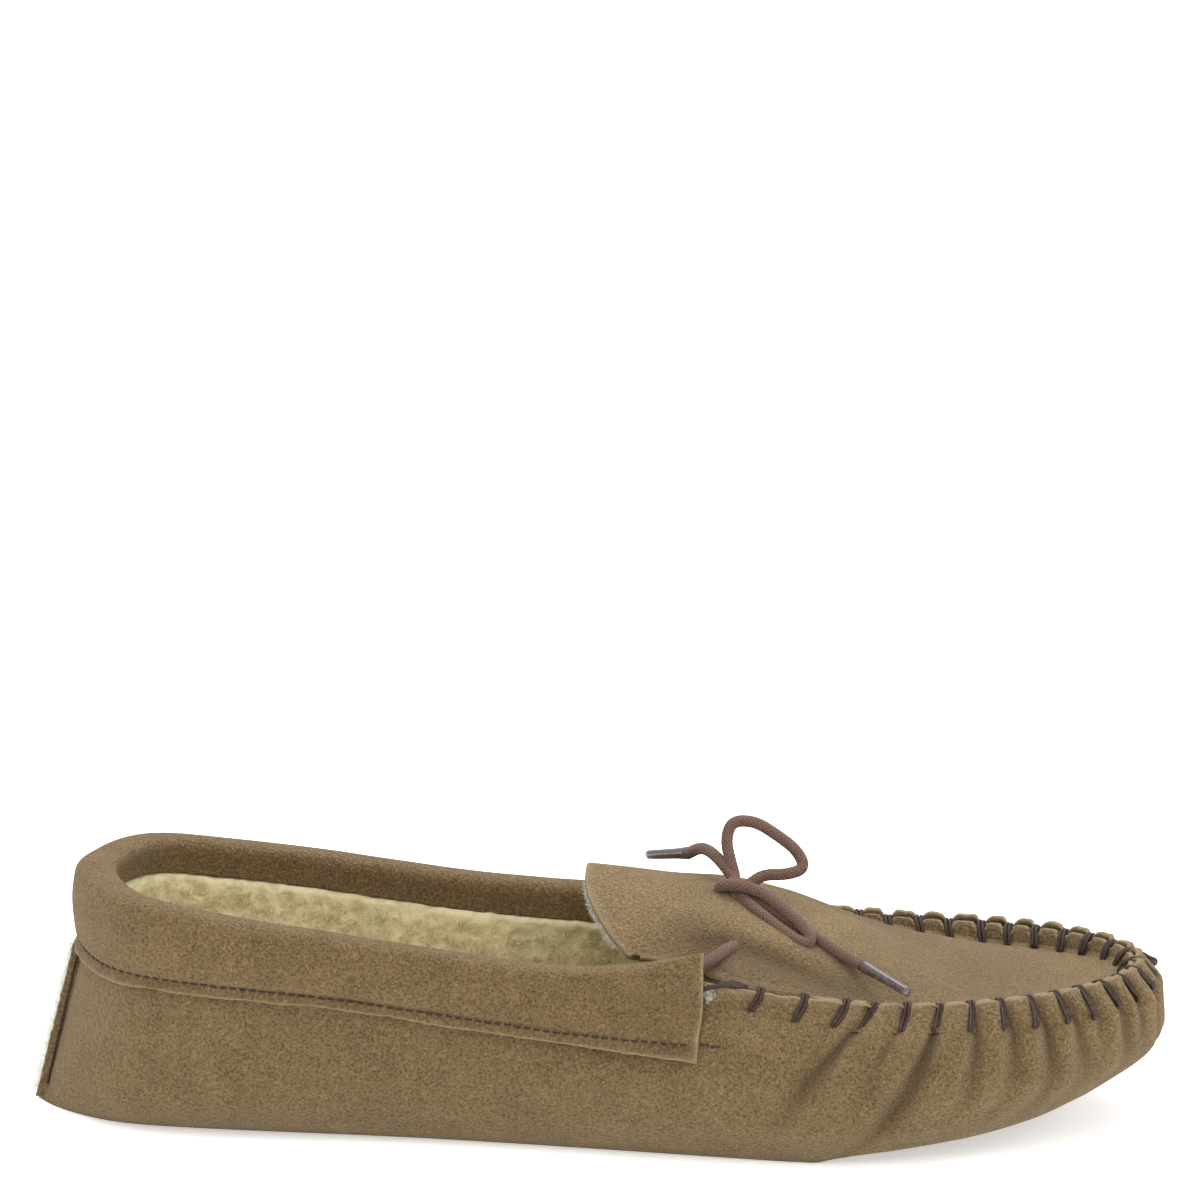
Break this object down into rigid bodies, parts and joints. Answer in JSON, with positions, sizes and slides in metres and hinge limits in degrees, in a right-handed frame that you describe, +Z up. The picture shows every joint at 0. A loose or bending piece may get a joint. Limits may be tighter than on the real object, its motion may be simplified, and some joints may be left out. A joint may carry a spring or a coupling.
{
  "type": "moccasin slipper",
  "caption": "Soft suede moccasin slipper for the right foot, with a gathered toe, a rolled collar, a tied lace, a fleece lining and a free tongue.",
  "frame": {"origin": "on the ground, under the middle of the box round the shoe without its lace", "axes": "+X from heel to toe, +Y to the wearer's left (the inner side of this right shoe), +Z up"},
  "size_m": [0.2896, 0.0981, 0.0758],
  "materials": {
    "suede": "brushed suede",
    "fleece": "curly pile",
    "foam": "felted pad",
    "waxed_thread": "waxed",
    "sewing_thread": "matte",
    "lace": "braided",
    "aglet": "clear film"
  },
  "bodies": {
    "shoe": {"wrap_upper": "suede", "vamp_apron": "suede", "collar_cuff": "suede", "sock_lining": "fleece", "vamp_lining": "fleece", "foam_insole": "foam", "toe_whip_stitches": "waxed_thread", "collar_topstitching": "sewing_thread", "heel_seam_stitching": "sewing_thread", "lace_collar_run": "lace", "lace_side_near": "lace", "lace_side_far": "lace", "bow_loop_up": "lace", "bow_loop_near": "lace", "lace_end_near": "lace", "lace_end_far": "lace", "bow_knot": "lace", "aglet_near": "aglet", "aglet_far": "aglet"},
    "tongue": {"tongue_flap": "suede", "tongue_lining": "fleece", "tongue_topstitching": "sewing_thread"}
  },
  "joints": [
    {"name": "tongue_lift", "type": "hinge", "parent": "shoe", "child": "tongue", "pos_m": [0.024, 0, 0.0605], "axis": [0, 1, 0], "range_deg": [0, 40]}
  ]
}
